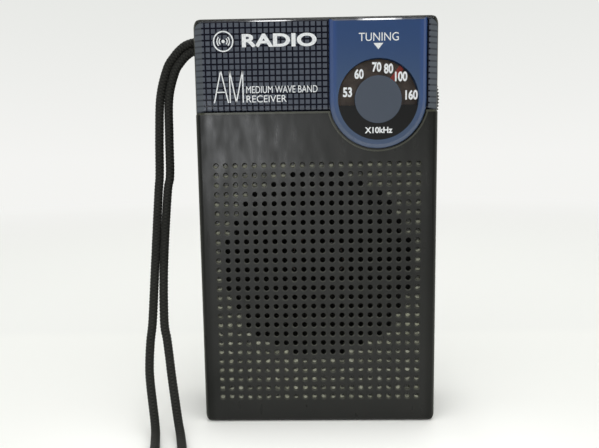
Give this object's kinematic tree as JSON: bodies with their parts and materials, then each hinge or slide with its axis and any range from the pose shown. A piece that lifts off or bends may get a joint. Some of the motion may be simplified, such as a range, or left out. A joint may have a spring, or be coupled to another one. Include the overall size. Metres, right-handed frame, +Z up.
{
  "type": "transistor pocket radio",
  "caption": "Slim upright pocket radio with perforated speaker face, gridded upper panel, blue dial window, edge wheels and braided wrist strap.",
  "frame": {"origin": "centre of the case's flat base, on the parting line between its two halves", "axes": "+Z up the case, +X to the right seen from the front, +Y to the back; the speaker face looks along -Y"},
  "size_m": [0.0846, 0.0648, 0.1155],
  "materials": {
    "case_plastic": "moulded dark olive-black ABS, satin, slightly scuffed",
    "panel_print": "clear plastic with a fine dark grid printed behind it, glossy",
    "window_plastic": "translucent blue acrylic block, polished",
    "wheel_plastic": "moulded black plastic, semi-gloss",
    "dial_print": "black printed disc with white frequency numbers",
    "plated_steel": "zinc-plated, satin",
    "capacitor_plastic": "ivory moulding, satin",
    "brass_parts": "satin",
    "pot_body": "brown phenolic, satin",
    "board_laminate": "phenolic paper laminate, satin",
    "ferrite": "sintered ferrite, matte",
    "coil_wire": "enamelled litz wire on paper, satin",
    "can_metal": "drawn screening can, satin",
    "black_epoxy": "moulded epoxy, satin",
    "transformer_lamination": "varnished laminations and paper, satin",
    "blue_sleeve": "shrink sleeve, gloss",
    "ceramic_brown": "dipped ceramic, satin",
    "resistor_tan": "lacquered, satin",
    "magnet_dark": "sintered magnet, matte",
    "cone_paper": "pressed paper pulp, matte",
    "copper_coil": "enamelled copper, gloss",
    "lug_board": "phenolic paper, satin",
    "cell_jacket": "printed metal jacket, satin",
    "spring_steel": "nickel-plated, bright",
    "red_insulation": "PVC insulation, satin",
    "white_insulation": "PVC insulation, satin",
    "litz_silk": "silk-covered litz, matte",
    "label_foil": "blank metallised foil, satin",
    "braided_cord": "braided black nylon, matte"
  },
  "bodies": {
    "case": {"front_cabinet": "case_plastic", "back_cabinet": "case_plastic", "front_panel": "panel_print", "tuning_window": "window_plastic", "stator_vanes": "brass_parts", "tuning_capacitor": "capacitor_plastic", "trimmer_screws": "brass_parts", "volume_control": "pot_body", "circuit_board": "board_laminate", "ferrite_rod": "ferrite", "antenna_coil": "coil_wire", "rod_holders": "capacitor_plastic", "if_transformers": "can_metal", "if_cores": "brass_parts", "transistors": "black_epoxy", "audio_transformers": "transformer_lamination", "electrolytic_capacitors": "blue_sleeve", "ceramic_capacitors": "ceramic_brown", "resistors": "resistor_tan", "earphone_jack": "black_epoxy", "jack_contacts": "plated_steel", "speaker_frame": "plated_steel", "speaker_gasket": "black_epoxy", "speaker_surround": "cone_paper", "speaker_magnet": "magnet_dark", "speaker_top_plate": "plated_steel", "speaker_yoke": "plated_steel", "speaker_terminals": "lug_board", "speaker_screws": "plated_steel", "board_screws": "plated_steel", "case_screws": "plated_steel", "battery_cells": "cell_jacket", "battery_springs": "spring_steel", "battery_contacts": "spring_steel", "battery_link": "spring_steel", "battery_leads": "red_insulation", "speaker_leads": "white_insulation", "antenna_leads": "litz_silk", "rating_label": "label_foil", "strap_pin": "plated_steel", "strap_knot": "braided_cord"},
    "tuning": {"tuning_wheel": "wheel_plastic", "dial_disc": "dial_print", "tuning_shaft": "plated_steel", "tuning_wheel_screw": "plated_steel", "rotor_vanes": "brass_parts"},
    "volume": {"volume_wheel": "wheel_plastic", "volume_wheel_screw": "plated_steel"},
    "cover": {"battery_cover": "case_plastic"},
    "cone": {"speaker_cone": "cone_paper", "dust_cap": "cone_paper", "voice_coil": "copper_coil"},
    "strap": {"wrist_strap": "braided_cord"}
  },
  "joints": [
    {"name": "tuning_turn", "type": "hinge", "parent": "case", "child": "tuning", "pos_m": [0.017, -0.01, 0.093], "axis": [0, 1, 0], "range_deg": [-126, 52]},
    {"name": "volume_turn", "type": "hinge", "parent": "case", "child": "volume", "pos_m": [0.02545, 0, 0.073], "axis": [0, -1, 0], "range_deg": [0, 280]},
    {"name": "cover_slide", "type": "slide", "parent": "case", "child": "cover", "axis": [0, 0, -1], "range_m": [0, 0.04]},
    {"name": "cone_travel", "type": "slide", "parent": "case", "child": "cone", "axis": [0, 1, 0], "range_m": [-0.0005, 0.0005]},
    {"name": "strap_swing", "type": "hinge", "parent": "case", "child": "strap", "pos_m": [-0.03515, -0.007, 0.109], "axis": [0, 0, 1], "range_deg": [-90, 60]}
  ]
}
